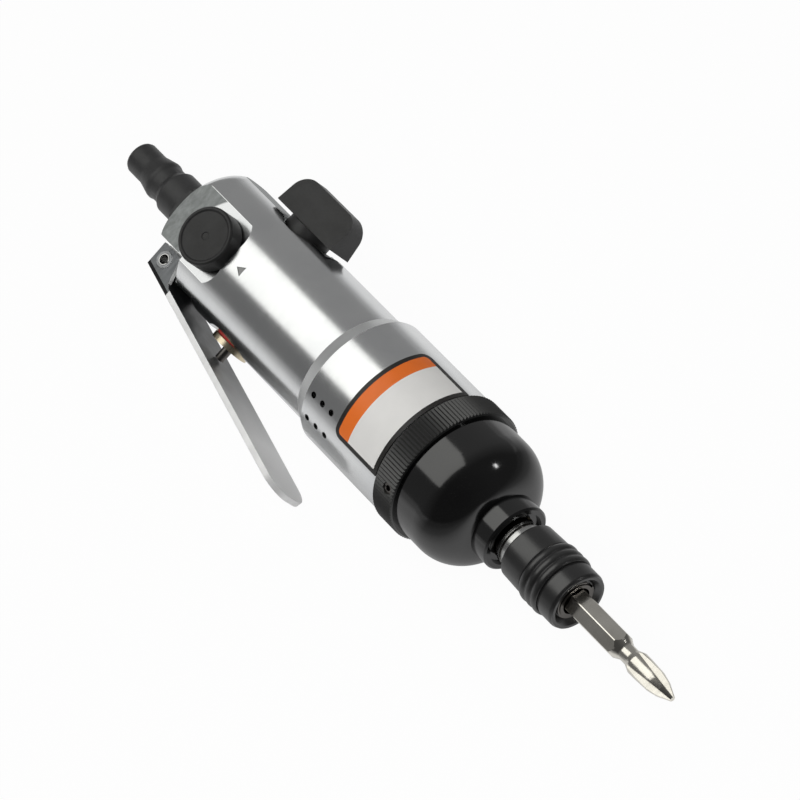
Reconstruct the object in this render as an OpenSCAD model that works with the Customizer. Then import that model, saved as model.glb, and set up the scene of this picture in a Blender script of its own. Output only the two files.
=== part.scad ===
// Straight pneumatic impact screwdriver with a thumb lever, a round air regulator and a winged reversing knob.
// Every piece is drawn upright, with the lever below and X along the spindle from the handle's rear face.
// The whole tool is then turned about its axis, so that it lies on its knurled ring and its lever's tip.
// The origin is the middle of the air plug's sealing nose, on the spindle's axis.

/* [Handle] */
// Diameter of the aluminium handle
handle_d = 33.8; // [33:0.1:35]
// Length of the handle before the collar's ramp
handle_len = 64; // [62:0.5:66]
// Rounding of the handle's rear edge
rear_round = 4.5; // [3:0.5:5]
// Diameter of the collar over the front of the motor
collar_d = 37.6; // [37:0.1:38.4]
// Length of the ramp between handle and collar
ramp_len = 4; // [3:0.5:5]
// Length of the collar
collar_len = 30; // [28:0.5:32]

/* [Hammer case] */
// Diameter over the knurled ring
knurl_d = 38.8; // [38.4:0.1:40]
// Length of the knurled ring
knurl_len = 7.8; // [6:0.2:9]
// Number of teeth of the straight knurl
knurl_teeth = 120; // [90:10:140]
// Depth of the knurl
knurl_depth = 0.35; // [0.2:0.05:0.5]
// Diameter of the smooth dome
dome_d = 36.1; // [35.6:0.1:36.8]
// Length of the dome's straight part, with the ring
dome_len = 15; // [13:0.5:16]
// Rounding of the dome's front
dome_round = 12; // [11:0.5:13]
// Diameter of the nose boss
nose_d = 18.6; // [18:0.1:20]
// Distance from the ring's rear face to the nose
nose_reach = 32; // [31.5:0.5:33]

/* [Air plug] */
// Diameter of the plug's sealing nose
plug_nose_d = 9.1; // [8.8:0.1:9.6]
// Diameter of the plug's locking shoulder
plug_bulge_d = 11.1; // [10.8:0.1:12]
// Diameter of the plug's stem
plug_stem_d = 12.2; // [11.8:0.1:13]
// Size of the plug's hexagon across flats
plug_hex_af = 15.2; // [14.6:0.1:15.8]
// Diameter of the plug's thread
plug_thread_d = 11.4; // [11:0.1:11.8]

/* [Lever] */
// Width of the pressed lever
lever_w = 16; // [15.5:0.5:17]
// Thickness of the lever's sheet
lever_sheet = 1.6; // [1.4:0.1:1.8]
// Length of the lever ahead of its pin
lever_reach = 74.3; // [70:0.1:80]
// Angle between the released lever and the handle
lever_open = 13; // [12.5:0.5:14]
// Angle that the lever swings when it is pressed
lever_swing = 6.5; // [5:0.5:6.5]
// Diameter of the lever's spring pin
lever_pin_d = 3; // [2.5:0.1:3.2]

/* [Knobs] */
// Diameter of the round regulator knob
regulator_d = 15.5; // [14:0.1:15.8]
// Height of the regulator knob
regulator_h = 5.5; // [5:0.1:6]
// Length of the wing of the reversing knob
wing_len = 22.3; // [20:0.1:24]
// Height of the wing
wing_h = 9.6; // [8:0.1:10]
// Thickness of the wing at its foot
wing_foot = 9.5; // [8:0.1:10]
// Thickness of the wing at its top
wing_top = 5; // [4:0.1:6]
// Diameter of the reversing knob's stem
reverse_stem_d = 13; // [12.6:0.1:13.4]

/* [Chuck] */
// Length of the bit sleeve
sleeve_len = 20.3; // [20:0.1:21]
// Diameter of the sleeve's ribs
sleeve_rib_d = 17.4; // [17.2:0.1:18]
// Diameter of the sleeve's front end
sleeve_front_d = 16.2; // [16:0.1:16.8]
// Distance that the sleeve slides back
sleeve_travel = 3.4; // [3:0.1:3.5]
// Number of ribs on the sleeve
sleeve_ribs = 3; // [2:1:4]

/* [Bit] */
// Size of the bit's hexagon across flats
bit_af = 6.35; // [6.2:0.05:6.4]
// Length of the double-ended bit
bit_len = 65; // [64:0.5:66]

/* [Label] */
// Length of the label along the handle
label_len = 17; // [15:0.5:17.4]
// Angle that the label covers round the collar
label_angle = 104; // [90:1:110]

/* [Hidden] */
$fn = 96;

// Clearances and overruns that serve the whole tool
overrun = 1;
running_gap = 0.05;
fit_gap = 0.03;
free_gap = 0.3;

// Handle
handle_r = handle_d / 2;
collar_r = collar_d / 2;
collar_x = handle_len + ramp_len;
body_len = collar_x + collar_len;
handle_wall = 2.7;
motor_bore_r = handle_r - handle_wall;
throttle_x = 30.8;
throttle_bore_r = 4.6;
motor_wall = 8.6;
motor_x = throttle_x + throttle_bore_r + motor_wall;
case_seat_depth = 11.7;
case_bore_x = body_len - case_seat_depth;
case_bore_wall = 2.3;
case_bore_r = collar_r - case_bore_wall;
bearing_r = 8;
exhaust_ring_depth = 1;
exhaust_ring_from_ramp = 1;
exhaust_ring_x = collar_x + exhaust_ring_from_ramp;
exhaust_ring_len = 10;
exhaust_r = 0.85;
exhaust_from_ramp = 2.4;
exhaust_x = collar_x + exhaust_from_ramp;
exhaust_pitch = 3.6;
exhaust_count = 3;
exhaust_angles = [-63, -41.5, 41.5, 63];
inlet_r = plug_thread_d / 2 + running_gap;
inlet_len = 9.5;
passage_r = 3.25;
mouth_chamfer = 0.5;

// Milled flats and slots of the handle
regulator_flat_deep = 2.9;
regulator_flat = handle_r - regulator_flat_deep;
regulator_flat_len = 25;
regulator_flat_corner = 7;
reverse_flat_deep = 0.8;
reverse_flat = handle_r - reverse_flat_deep;
reverse_flat_len = 38;
lever_flat_deep = 1.9;
lever_flat = handle_r - lever_flat_deep;
lever_flat_len = 18;
lug_w = 12;
lug_slot_len = 11.5;
lug_slot_deep = 8.6;
lug_slot_top = handle_r - lug_slot_deep;
lug_relief = 16;

// Index mark in front of the regulator
mark_x = 28.1;
mark_len = 2.4;
mark_h = 2.9;
mark_depth = 0.25;

// Hammer case
knurl_r = knurl_d / 2;
dome_r = dome_d / 2;
nose_r = nose_d / 2;
case_x = body_len;
dome_x = case_x + dome_len;
nose_x = case_x + nose_reach;
knurl_chamfer = 0.6;
nose_chamfer = 0.5;
case_wall = 1.7;
case_inner_r = case_bore_r - case_wall;
case_inner_len = 17.5;
case_spigot_gap = 0.2;
flange_room_r = 8.3;
flange_room_len = 2.5;
bush_x = case_x + case_inner_len + flange_room_len;
bush_r = 7;
nose_lip = 4;
bush_end = nose_x - nose_lip;
nose_recess_r = 7.6;
nose_recess_len = 1;
nose_bore_gap = 0.5;
screw_x = case_x + 5;
screw_angle = -37.5;
screw_r = 1.5;
screw_len = 2.6;
screw_hex_r = 0.85;
screw_hex_len = 1.4;
screw_sunk = 0.5;

// Air plug, from its thread backwards
plug_thread_len = 7;
plug_washer_len = 0.8;
plug_washer_r = 8.3;
plug_hex_len = 4.7;
plug_stem_len = 7.7;
plug_cone_len = 1.8;
plug_groove_r = 5.15;
plug_groove_len = 2.3;
plug_bulge_len = 1.8;
plug_ramp_len = 4.3;
plug_nose_len = 5.2;
plug_tip = 1;
plug_bore_r = 2.8;
plug_tip_share = 0.3;
plug_chamfer_share = 0.6;
hex_x = -plug_washer_len - plug_hex_len;
stem_x = hex_x - plug_stem_len;
groove_x = stem_x - plug_cone_len - plug_groove_len;
bulge_x = groove_x - plug_bulge_len;
nose_front_x = bulge_x - plug_ramp_len;
nose_back_x = nose_front_x - plug_nose_len;
origin_x = nose_front_x - plug_nose_len / 2;
screen_r = 5;
screen_len = 2;
screen_wall = 0.5;
screen_hole_r = 0.45;
screen_ring_r = 2.6;
screen_holes = 8;

// Lever and its pin
pivot_x = 3.6;
pivot_in = 4;
pivot_w = handle_r - pivot_in;
lever_face = 2.7;
lever_back = 2.5;
lever_tip_corner = 6.5;
ear_back = 4.1;
ear_top = 3.85;
ear_front = 6.4;
ear_foot = 7.6;
ear_slope_share = 0.62;
ear_top_shares = [0.3, 0.5];
ear_side_share = 0.75;
ear_front_share = 0.8;
ear_boss_r = 2.3;
ear_boss_h = 0.25;
lever_pin_wall = 0.55;
pin_slit = 0.5;
lever_half = lever_w / 2;
lever_outer = lever_face + lever_sheet;
tip_x = lever_reach - lever_tip_corner;
tip_w = pivot_w + tip_x * sin(lever_open) + lever_outer * cos(lever_open);
tip_radius = sqrt(pow(tip_w, 2) + pow(lever_half, 2));
roll = asin(knurl_r / tip_radius) - atan(lever_half / tip_w);

// Throttle valve, measured from the spindle's axis towards the lever
throttle_top = -4;
bush_head_r = 5.4;
bush_spot_r = 7.6;
bush_head_lift = 1.36;
bush_head_seat = lever_flat + bush_head_lift;
bush_head_h = 1.5;
bush_out = bush_head_seat + bush_head_h;
bush_deep = 4.3;
bush_inner = bush_head_seat - bush_deep;
head_ring_r = 0.65;
head_ring_at = throttle_bore_r;
bush_neck_r = head_ring_at - head_ring_r - fit_gap;
bush_neck_len = 0.3;
pin_r = 1.32;
pin_dome_r = 3;
pin_room = 0.08;
valve_ring_r = 0.85;
valve_ring_room = 3.15;
valve_ring_depth = 1.7;
seat_drop = 2.5;
seat_len = 1.2;
seat_low = bush_inner - seat_drop;
seat_high = seat_low - seat_len;
seat_hole_r = 2.6;
ball_r = 3.2;
gallery_wall = 1.2;
gallery_r = (motor_bore_r - bearing_r) / 2 - gallery_wall;
gallery_w = (motor_bore_r + bearing_r) / 2;
pin_gap = 0.1;
ball_w = seat_high - sqrt(pow(ball_r, 2) - pow(seat_hole_r, 2)) - fit_gap;
face_w = pivot_w + lever_face / cos(lever_open) + (throttle_x - pivot_x) * tan(lever_open);
pin_end_w = face_w - (pin_dome_r + pin_gap) / cos(lever_open);
pin_top_w = ball_w + ball_r + pin_gap;
throttle_wire = 0.3;
throttle_coils = 5;
ball_seat_share = 0.75;

// Reversing knob and its valve
reverse_x = 25.9;
reverse_stem_r = reverse_stem_d / 2 - running_gap;
reverse_spot_deep = 3.4;
reverse_spot = handle_r - reverse_spot_deep;
reverse_spot_gap = 1.6;
reverse_seat_deep = 6.4;
reverse_seat = handle_r - reverse_seat_deep;
reverse_valve_r = 3.55;
reverse_bottom = 5.2;
reverse_port_r = 1.4;
reverse_port_side = 2.1;
reverse_port_z = (reverse_bottom + reverse_seat) / 2;
wing_lift = 1;
wing_z = handle_r + wing_lift;
wing_corner = 4.5;
stem_ring_up = 1.6;
stem_ring_z = reverse_seat + stem_ring_up;
stem_ring_r = 0.65;
detent_r = 1.2;
detent_reach = 5.05;
detent_deep = 6.3;
detent_bottom = reverse_seat - detent_deep;
detent_coil_share = 0.7;
detent_wire = 0.2;
detent_coils = 4;
drive_tongue_w = 2.4;
drive_tongue_h = 1.6;

// Regulator knob and its valve
regulator_x = 16.5;
regulator_r = regulator_d / 2;
regulator_lift = 0.3;
regulator_rim_w = 0.9;
regulator_rim_h = 0.35;
regulator_dimple_r = 1;
regulator_dimple_h = 0.2;
regulator_edge = 0.4;
regulator_valve_r = 4;
regulator_valve_deep = -4.5;
regulator_post_r = 2.4;
regulator_post_h = 3;
regulator_ring_deep = 4.4;
regulator_ring_at = regulator_flat - regulator_ring_deep;
regulator_ring_r = 0.6;
regulator_port_r = 2.6;

// Motor
plate_len = 7;
plate_r = motor_bore_r - running_gap;
plate_gap = 0.2;
rear_plate_x = motor_x + plate_gap;
liner_x = rear_plate_x + plate_len;
front_plate_end = case_bore_x - plate_gap / 2;
front_plate_x = front_plate_end - plate_len;
liner_len = front_plate_x - liner_x;
liner_wall = 2.9;
liner_bore_r = motor_bore_r - liner_wall;
liner_offset = 0.9;
liner_port_r = 1.6;
bearing_len = 5;
bearing_race = 1.3;
bearing_balls = 9;
shaft_r = 4;
shaft_hole_r = 4.6;
rotor_gap = 0.3;
rotor_r = liner_bore_r - liner_offset - rotor_gap;
vane_count = 5;
vane_t = 1.4;
rotor_web = 0.9;
vane_deep = rotor_r - shaft_r - rotor_web;
drive_r = 3.9;
drive_len = 5.2;

// Hammer mechanism
cage_gap = 0.4;
cage_r = case_inner_r - cage_gap;
cage_room = 2.6;
cage_x = front_plate_end + cage_room;
cage_disc = 3.4;
cage_len = 25.4;
cage_hub_r = 6.8;
cage_bar_w = 12;
cage_bar_t = 3.1;
cage_bar_in = cage_r - cage_bar_t;
cage_eye_r = 6.9;
dog_r = 10.6;
dog_bore_r = 6.9;
dog_gap = 0.3;
dog_jaw_w = 3.4;
hammer_pin_r = 2;
hammer_pin_in = 2.8;
hammer_pin_at = cage_r - hammer_pin_in;

// Anvil and chuck
anvil_jaw_r = 6.4;
anvil_jaw_w = 4;
anvil_r = 5.5;
anvil_flange_r = 7.9;
anvil_flange_len = 1.8;
anvil_back_gap = 0.6;
anvil_back = cage_x + cage_disc + anvil_back_gap;
sleeve_back = 4.1;
sleeve_x = nose_x + sleeve_back;
chuck_r = 4.75;
clip_out = 0.6;
clip_x = nose_x + clip_out;
clip_len = 0.9;
clip_r = 6.3;
clip_groove = 0.4;
seat_ring_out = 2;
seat_ring_x = nose_x + seat_ring_out;
seat_ring_len = 2;
seat_ring_r = 6.1;
sleeve_front = sleeve_x + sleeve_len;
anvil_front_in = 0.8;
anvil_front = sleeve_front - anvil_front_in;
socket_mouth_r = 3.85;
socket_mouth_len = 2.5;
bit_groove = 16.1;
ball_from_sleeve = 7.2;
ball_x = sleeve_x + ball_from_sleeve;
bit_back = ball_x - bit_groove;
bit_tip = bit_back + bit_len;
bit_neck_r = 2.3;
ball_hold_r = 1.75;
ball_hold_at = 4.15;
land_gap = 0.07;
land_r = ball_hold_at + ball_hold_r + land_gap;
land_back = 1.9;
land_front = 1.6;
pocket_r = 6.8;
release_len = 4.6;
sleeve_wall_chamfer = 0.4;
sleeve_rear_d = 15.8;
sleeve_rear_len = 7.9;
rib_band = 6.7;
rib_drop = 0.35;
sleeve_groove = 0.6;
sleeve_groove_r = 7.75;
sleeve_nose_round = 1.2;
mouth_r = 6.9;
mouth_len = 1.8;
mouth_floor_r = 5.6;
end_clip_len = 0.7;
end_clip_r = 5.35;
end_clip_back = 0.2;
sleeve_wire = 0.22;
sleeve_coils = 4;
socket_gap = 0.05;
socket_end_gap = 0.6;
corner_round_r = 3.56;
tip_r = 0.55;
hex_turn = 23.5;
flute_turn = 15;
flute_slope = 9;

// Label on the collar
label_t = 0.15;
label_edge = 0.1;
label_turn = 13.5;
label_x = body_len - label_len - label_edge;

// Colours
aluminium_grey = [0.80, 0.81, 0.81];
case_black = [0.10, 0.10, 0.10];
plug_black = [0.16, 0.16, 0.16];
knob_black = [0.14, 0.14, 0.14];
steel_grey = [0.66, 0.66, 0.66];
dark_steel = [0.34, 0.33, 0.31];
bit_bronze = [0.62, 0.57, 0.52];
brass_gold = [0.78, 0.66, 0.38];
seal_red = [0.72, 0.16, 0.12];
seal_black = [0.08, 0.08, 0.08];
label_orange = [0.93, 0.55, 0.18];

// Turns a piece about the spindle, from upright to the way the tool lies
module lying() {
    translate([-origin_x, 0, 0])
        rotate([roll - 90, 0, 0])
            children();
}

// Frames of the three cross valves: local Z points outwards
module at_regulator() {
    translate([regulator_x, 0, 0]) rotate([90, 0, 0]) children();
}

module at_reverse() {
    translate([reverse_x, 0, 0]) children();
}

module at_throttle() {
    translate([throttle_x, 0, 0]) rotate([180, 0, 0]) children();
}

// Solid of revolution about X: the outline gives [radius, x]
module turned() {
    rotate([0, 90, 0]) rotate_extrude() children();
}

// Round bar along X
module bar(r, from, to) {
    translate([from, 0, 0]) rotate([0, 90, 0]) cylinder(r = r, h = to - from);
}

// Hexagonal bar along X, with one corner turned from straight up by the given angle
module hex_bar(af, from, to, turn) {
    translate([from, 0, 0])
        rotate([turn, 0, 0])
            rotate([0, 90, 0])
                cylinder(d = af / cos(30), h = to - from, $fn = 6);
}

// Ring of square section about X
module ring(outer, inner, from, to) {
    difference() {
        bar(outer, from, to);
        bar(inner, from - overrun, to + overrun);
    }
}

// Ring of round section about local Z
module o_ring(at_r, wire_r) {
    rotate_extrude() translate([at_r, 0]) circle(wire_r, $fn = 32);
}

// Square groove about local Z that such a ring lies in
module ring_groove(outer_r, wire_r) {
    rotate_extrude()
        translate([outer_r - wire_r * 2 - fit_gap, -wire_r - fit_gap])
            square([wire_r * 2 + overrun, (wire_r + fit_gap) * 2]);
}

// Wound wire about local Z, as one tube of six sides
module wire_coil(at_r, wire_r, h, coils) {
    sides = 6;
    rings = 8;
    steps = coils * rings;
    rise = h - 2 * wire_r;
    points = [for (i = [0 : steps]) for (k = [0 : sides - 1])
        let (turn = 360 * i / rings, round = 360 * k / sides, out = at_r + wire_r * cos(round))
            [out * cos(turn), out * sin(turn), wire_r + rise * i / steps + wire_r * sin(round)]];
    walls = [for (i = [0 : steps - 1]) for (k = [0 : sides - 1])
        let (a = i * sides + k, b = i * sides + (k + 1) % sides) each [
            [a, a + sides, b + sides], [a, b + sides, b]]];
    caps = [for (k = [1 : sides - 2]) each [
        [0, k, k + 1], [steps * sides, steps * sides + k + 1, steps * sides + k]]];
    polyhedron(points = points, faces = concat(walls, caps));
}

// Outline of the handle and collar: a rounded rear edge, a straight grip, a ramp and a collar
module body_outline() {
    square([handle_r - rear_round, rear_round]);
    translate([handle_r - rear_round, rear_round]) circle(rear_round);
    translate([0, rear_round]) square([handle_r, handle_len - rear_round]);
    polygon([[0, handle_len], [handle_r, handle_len], [collar_r, collar_x],
        [collar_r, body_len], [0, body_len]]);
}

// Milled flat for the regulator, with the round corners that the cutter leaves
module regulator_flat_cut() {
    deep = handle_r - regulator_flat + overrun;
    reach = regulator_flat_len - regulator_flat_corner;
    side = sqrt(pow(handle_r, 2) - pow(regulator_flat, 2)) - regulator_flat_corner + overrun;
    translate([0, -regulator_flat, 0])
        rotate([90, 0, 0]) {
            translate([-overrun, -handle_r, 0]) cube([reach + overrun, handle_d, deep]);
            translate([-overrun, free_gap - side, 0]) cube([regulator_flat_len + overrun, (side - free_gap) * 2, deep]);
            for (s = [-1, 1])
                translate([reach - free_gap, s * side, 0]) cylinder(r = regulator_flat_corner, h = deep);
        }
}

// Slots beside the lug that carries the lever, and the flats that give the lever room
module lever_cuts() {
    for (s = [-1, 1])
        translate([-overrun, s > 0 ? lug_w / 2 : -handle_r - lug_w / 2, -handle_r - lug_slot_top])
            cube([lug_slot_len + overrun, handle_r, handle_r]);
    translate([-overrun, -handle_r, -handle_r - lever_flat])
        cube([lever_flat_len + overrun, handle_d, handle_r]);
    translate([pivot_x, -handle_r, -pivot_w])
        rotate([0, lug_relief, 0])
            translate([-handle_r, 0, -handle_r - lever_flat + pivot_w])
                cube([handle_r, handle_d, handle_r]);
    translate([pivot_x, handle_r, -pivot_w])
        rotate([90, 0, 0])
            cylinder(r = lever_pin_d / 2 + fit_gap, h = handle_d);
}

// Cross bores of the throttle, the reversing valve and the regulator
module valve_bores() {
    at_throttle() {
        translate([0, 0, throttle_top])
            cylinder(r = throttle_bore_r, h = handle_r - throttle_top);
        translate([0, 0, lever_flat])
            cylinder(r = bush_spot_r, h = handle_r);
    }
    at_reverse() {
        translate([0, 0, reverse_bottom])
            cylinder(r = reverse_valve_r + running_gap, h = handle_r);
        translate([0, 0, reverse_seat])
            cylinder(r = reverse_stem_r + running_gap, h = handle_r);
        translate([-detent_reach, 0, detent_bottom])
            cylinder(r = detent_r + running_gap, h = handle_r - detent_bottom);
        translate([0, 0, reverse_spot])
            cylinder(r = reverse_stem_r + reverse_spot_gap, h = handle_r);
        translate([0, 0, reverse_spot - mouth_chamfer])
            cylinder(r1 = reverse_stem_r, r2 = reverse_stem_r + mouth_chamfer * 2, h = mouth_chamfer * 2);
    }
    at_regulator() {
        translate([0, 0, regulator_valve_deep - running_gap])
            cylinder(r = regulator_valve_r + running_gap, h = handle_d);
        translate([0, 0, regulator_flat])
            cylinder(r = regulator_r + free_gap, h = handle_r);
    }
}

// Air ways from the inlet to the throttle and on to the motor
module air_ways() {
    bar(inlet_r, -overrun, inlet_len);
    bar(passage_r, 0, throttle_x);
    translate([0, 0, -gallery_w]) bar(gallery_r, throttle_x, motor_x + overrun);
    for (s = [-1, 1])
        translate([0, s * reverse_port_side, reverse_port_z])
            bar(reverse_port_r, reverse_x, motor_x + overrun);
}

// Rows of exhaust holes on both sides of the lever
module exhaust_holes() {
    for (turn = exhaust_angles)
        for (i = [0 : exhaust_count - 1])
            translate([exhaust_x + i * exhaust_pitch, 0, 0])
                rotate([turn, 0, 0])
                    translate([0, 0, -collar_r - overrun])
                        cylinder(r = exhaust_r, h = collar_r - motor_bore_r + overrun * 2, $fn = 24);
}

// Shallow triangle that the regulator is set against
module index_mark() {
    translate([mark_x, -handle_r + mark_depth, 0])
        rotate([90, 0, 0])
            linear_extrude(overrun)
                polygon([[0, 0], [mark_len, -mark_h / 2], [mark_len, mark_h / 2]]);
}

module body() {
    color(aluminium_grey)
        lying()
            difference() {
                turned() body_outline();
                bar(motor_bore_r, motor_x, body_len + overrun);
                bar(case_bore_r, case_bore_x, body_len + overrun);
                bar(motor_bore_r + exhaust_ring_depth, exhaust_ring_x, exhaust_ring_x + exhaust_ring_len);
                regulator_flat_cut();
                translate([-overrun, -handle_r, reverse_flat])
                    cube([reverse_flat_len + overrun, handle_d, handle_r]);
                lever_cuts();
                valve_bores();
                air_ways();
                exhaust_holes();
                index_mark();
            }
}

// Outline of the knurl: one point at each crest and one in each valley
function knurl_points() = [for (i = [0 : knurl_teeth * 2 - 1])
    let (r = i % 2 == 0 ? knurl_r : knurl_r - knurl_depth, turn = 180 * i / knurl_teeth)
        [r * cos(turn), r * sin(turn)]];

module knurled_ring() {
    intersection() {
        translate([case_x, 0, 0]) rotate([0, 90, 0]) linear_extrude(knurl_len) polygon(knurl_points());
        turned()
            polygon([[0, case_x], [knurl_r - knurl_chamfer, case_x],
                [knurl_r + overrun, case_x + knurl_chamfer + overrun],
                [knurl_r + overrun, case_x + knurl_len - knurl_chamfer - overrun],
                [knurl_r - knurl_chamfer, case_x + knurl_len], [0, case_x + knurl_len]]);
    }
}

// Dome that rolls over into the nose boss
module dome_outline() {
    inner = dome_r - dome_round;
    translate([0, case_x + knurl_len / 2]) square([dome_r, dome_len - knurl_len / 2]);
    translate([0, dome_x]) square([inner, dome_round]);
    intersection() {
        translate([inner, dome_x]) circle(dome_round);
        translate([0, dome_x]) square([dome_r, dome_round]);
    }
    polygon([[0, dome_x], [nose_r, dome_x], [nose_r, nose_x - nose_chamfer],
        [nose_r - nose_chamfer, nose_x], [0, nose_x]]);
}

module screw_hole(r, from, to) {
    translate([screw_x, 0, 0])
        rotate([90 - screw_angle, 0, 0])
            translate([0, 0, from])
                cylinder(r = r, h = to - from, $fn = 32);
}

module hammer_case() {
    color(case_black)
        lying()
            difference() {
                union() {
                    bar(case_bore_r - running_gap, case_bore_x + case_spigot_gap, case_x + overrun);
                    knurled_ring();
                    turned() dome_outline();
                }
                bar(case_inner_r, case_bore_x - overrun, case_x + case_inner_len);
                bar(flange_room_r, case_x, bush_x);
                bar(bush_r, bush_x - overrun, bush_end);
                bar(anvil_r + nose_bore_gap, bush_end - overrun, nose_x + overrun);
                bar(nose_recess_r, nose_x - nose_recess_len, nose_x + overrun);
                screw_hole(screw_r, case_inner_r - overrun, knurl_r + overrun);
            }
}

module case_screw() {
    color(dark_steel)
        lying()
            difference() {
                screw_hole(screw_r - fit_gap, knurl_r - screw_sunk - screw_len, knurl_r - screw_sunk);
                translate([screw_x, 0, 0])
                    rotate([90 - screw_angle, 0, 0])
                        translate([0, 0, knurl_r - screw_sunk - screw_hex_len])
                            cylinder(r = screw_hex_r, h = screw_hex_len + overrun, $fn = 6);
            }
}

module air_plug() {
    color(plug_black)
        lying()
            difference() {
                union() {
                    turned()
                        polygon([[0, nose_back_x - plug_tip], [plug_nose_d / 2 - plug_tip, nose_back_x - plug_tip],
                            [plug_nose_d / 2 - plug_tip * plug_tip_share, nose_back_x - plug_tip * (1 - plug_tip_share)],
                            [plug_nose_d / 2, nose_back_x], [plug_nose_d / 2, nose_front_x],
                            [plug_bulge_d / 2, bulge_x], [plug_bulge_d / 2, bulge_x + plug_bulge_len * plug_tip_share],
                            [plug_groove_r, groove_x], [plug_groove_r, stem_x - plug_cone_len],
                            [plug_stem_d / 2, stem_x], [plug_stem_d / 2, hex_x + overrun], [0, hex_x + overrun]]);
                    intersection() {
                        hex_bar(plug_hex_af, hex_x, -plug_washer_len, 0);
                        turned()
                            polygon([[0, hex_x], [plug_hex_af / 2, hex_x],
                                [plug_hex_af / 2 + overrun, hex_x + overrun * plug_chamfer_share],
                                [plug_hex_af / 2 + overrun, -plug_washer_len], [0, -plug_washer_len]]);
                    }
                    bar(plug_thread_d / 2, -plug_washer_len - overrun, plug_thread_len);
                }
                bar(plug_bore_r, nose_back_x - plug_tip - overrun, plug_thread_len + overrun);
            }
}

module plug_washer() {
    color(seal_black) lying() ring(plug_washer_r, plug_thread_d / 2 + running_gap, -plug_washer_len, 0);
}

// Thimble strainer that the plug's thread holds in the inlet
module inlet_screen() {
    color(brass_gold)
        lying()
            difference() {
                bar(screen_r, plug_thread_len, plug_thread_len + screen_len);
                bar(screen_r - screen_wall, plug_thread_len - overrun, plug_thread_len + screen_len - screen_wall);
                for (i = [0 : screen_holes - 1])
                    rotate([360 * i / screen_holes, 0, 0])
                        translate([0, 0, screen_ring_r])
                            bar(screen_hole_r, plug_thread_len, plug_thread_len + screen_len + overrun, $fn = 24);
            }
}

// Side view of an ear, from the lever's foot up round the pin
module ear_outline() {
    polygon([[-lever_back, -lever_outer], [-ear_back, ear_top * ear_slope_share],
        [ear_front * ear_top_shares[0], ear_top], [ear_front * ear_top_shares[1], ear_top * ear_side_share],
        [ear_front, -lever_face * ear_front_share], [ear_foot, -lever_face], [ear_foot, -lever_outer]]);
}

module lever() {
    color(aluminium_grey)
        lying()
            translate([pivot_x, 0, -pivot_w])
                rotate([0, lever_open, 0])
                    difference() {
                        union() {
                            translate([0, 0, -lever_outer])
                                linear_extrude(lever_sheet) {
                                    translate([-lever_back, -lever_half]) square([tip_x + lever_back, lever_w]);
                                    translate([0, lever_tip_corner - lever_half])
                                        square([lever_reach, lever_w - lever_tip_corner * 2]);
                                    for (s = [-1, 1])
                                        translate([tip_x, s * (lever_half - lever_tip_corner)]) circle(lever_tip_corner);
                                }
                            for (y = [lever_half, -lever_half + lever_sheet])
                                translate([0, y, 0]) rotate([90, 0, 0]) linear_extrude(lever_sheet) ear_outline();
                            for (y = [lever_half + ear_boss_h, -lever_half + overrun])
                                translate([0, y, 0]) rotate([90, 0, 0]) cylinder(r = ear_boss_r, h = ear_boss_h + overrun);
                        }
                        translate([0, lever_w, 0])
                            rotate([90, 0, 0])
                                cylinder(r = lever_pin_d / 2 + running_gap, h = lever_w * 2);
                    }
}

module lever_pin() {
    half = lever_half + ear_boss_h;
    color(steel_grey)
        lying()
            translate([pivot_x, half, -pivot_w])
                rotate([90, 0, 0])
                    difference() {
                        cylinder(d = lever_pin_d, h = half * 2);
                        translate([0, 0, -overrun])
                            cylinder(r = lever_pin_d / 2 - lever_pin_wall, h = half * 2 + overrun * 2);
                        translate([0, -pin_slit / 2, -overrun])
                            cube([lever_pin_d, pin_slit, half * 2 + overrun * 2]);
                    }
}

module valve_bush() {
    color(brass_gold)
        lying()
            at_throttle()
                difference() {
                    union() {
                        translate([0, 0, bush_head_seat]) cylinder(r = bush_head_r, h = bush_head_h);
                        translate([0, 0, bush_inner]) cylinder(r = bush_neck_r, h = bush_deep + overrun / 2);
                        translate([0, 0, bush_inner])
                            cylinder(r = throttle_bore_r - running_gap, h = bush_deep - head_ring_r * 2 - bush_neck_len);
                    }
                    translate([0, 0, bush_inner - overrun]) cylinder(r = pin_r + pin_room, h = bush_out);
                    translate([0, 0, bush_out - valve_ring_depth]) cylinder(r = valve_ring_room, h = bush_out);
                }
}

// Red seal that the bush's head presses onto the handle
module valve_o_ring() {
    color(seal_red)
        lying()
            at_throttle()
                translate([0, 0, bush_head_seat - head_ring_r - fit_gap])
                    o_ring(head_ring_at, head_ring_r);
}

module pin_o_ring() {
    color(seal_black)
        lying()
            at_throttle()
                translate([0, 0, bush_out - valve_ring_depth + valve_ring_r + fit_gap])
                    o_ring(pin_r + pin_room + valve_ring_r, valve_ring_r);
}

module valve_seat() {
    color(steel_grey)
        lying()
            at_throttle()
                translate([0, 0, seat_high])
                    difference() {
                        cylinder(r = throttle_bore_r - fit_gap, h = seat_low - seat_high);
                        translate([0, 0, -overrun]) cylinder(r = seat_hole_r, h = seat_low);
                    }
}

module throttle_pin() {
    color(dark_steel)
        lying()
            at_throttle() {
                translate([0, 0, pin_top_w]) cylinder(r = pin_r, h = pin_end_w - pin_top_w + overrun);
                intersection() {
                    translate([0, 0, pin_end_w]) sphere(pin_dome_r);
                    translate([0, 0, pin_end_w]) cylinder(r = pin_r, h = pin_dome_r + overrun);
                }
            }
}

module throttle_ball() {
    color(steel_grey) lying() at_throttle() translate([0, 0, ball_w]) sphere(ball_r);
}

module throttle_spring() {
    color(steel_grey)
        lying()
            at_throttle()
                translate([0, 0, throttle_top + fit_gap])
                    wire_coil(throttle_bore_r / 2, throttle_wire, ball_w - ball_r * ball_seat_share - throttle_top, throttle_coils);
}

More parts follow.
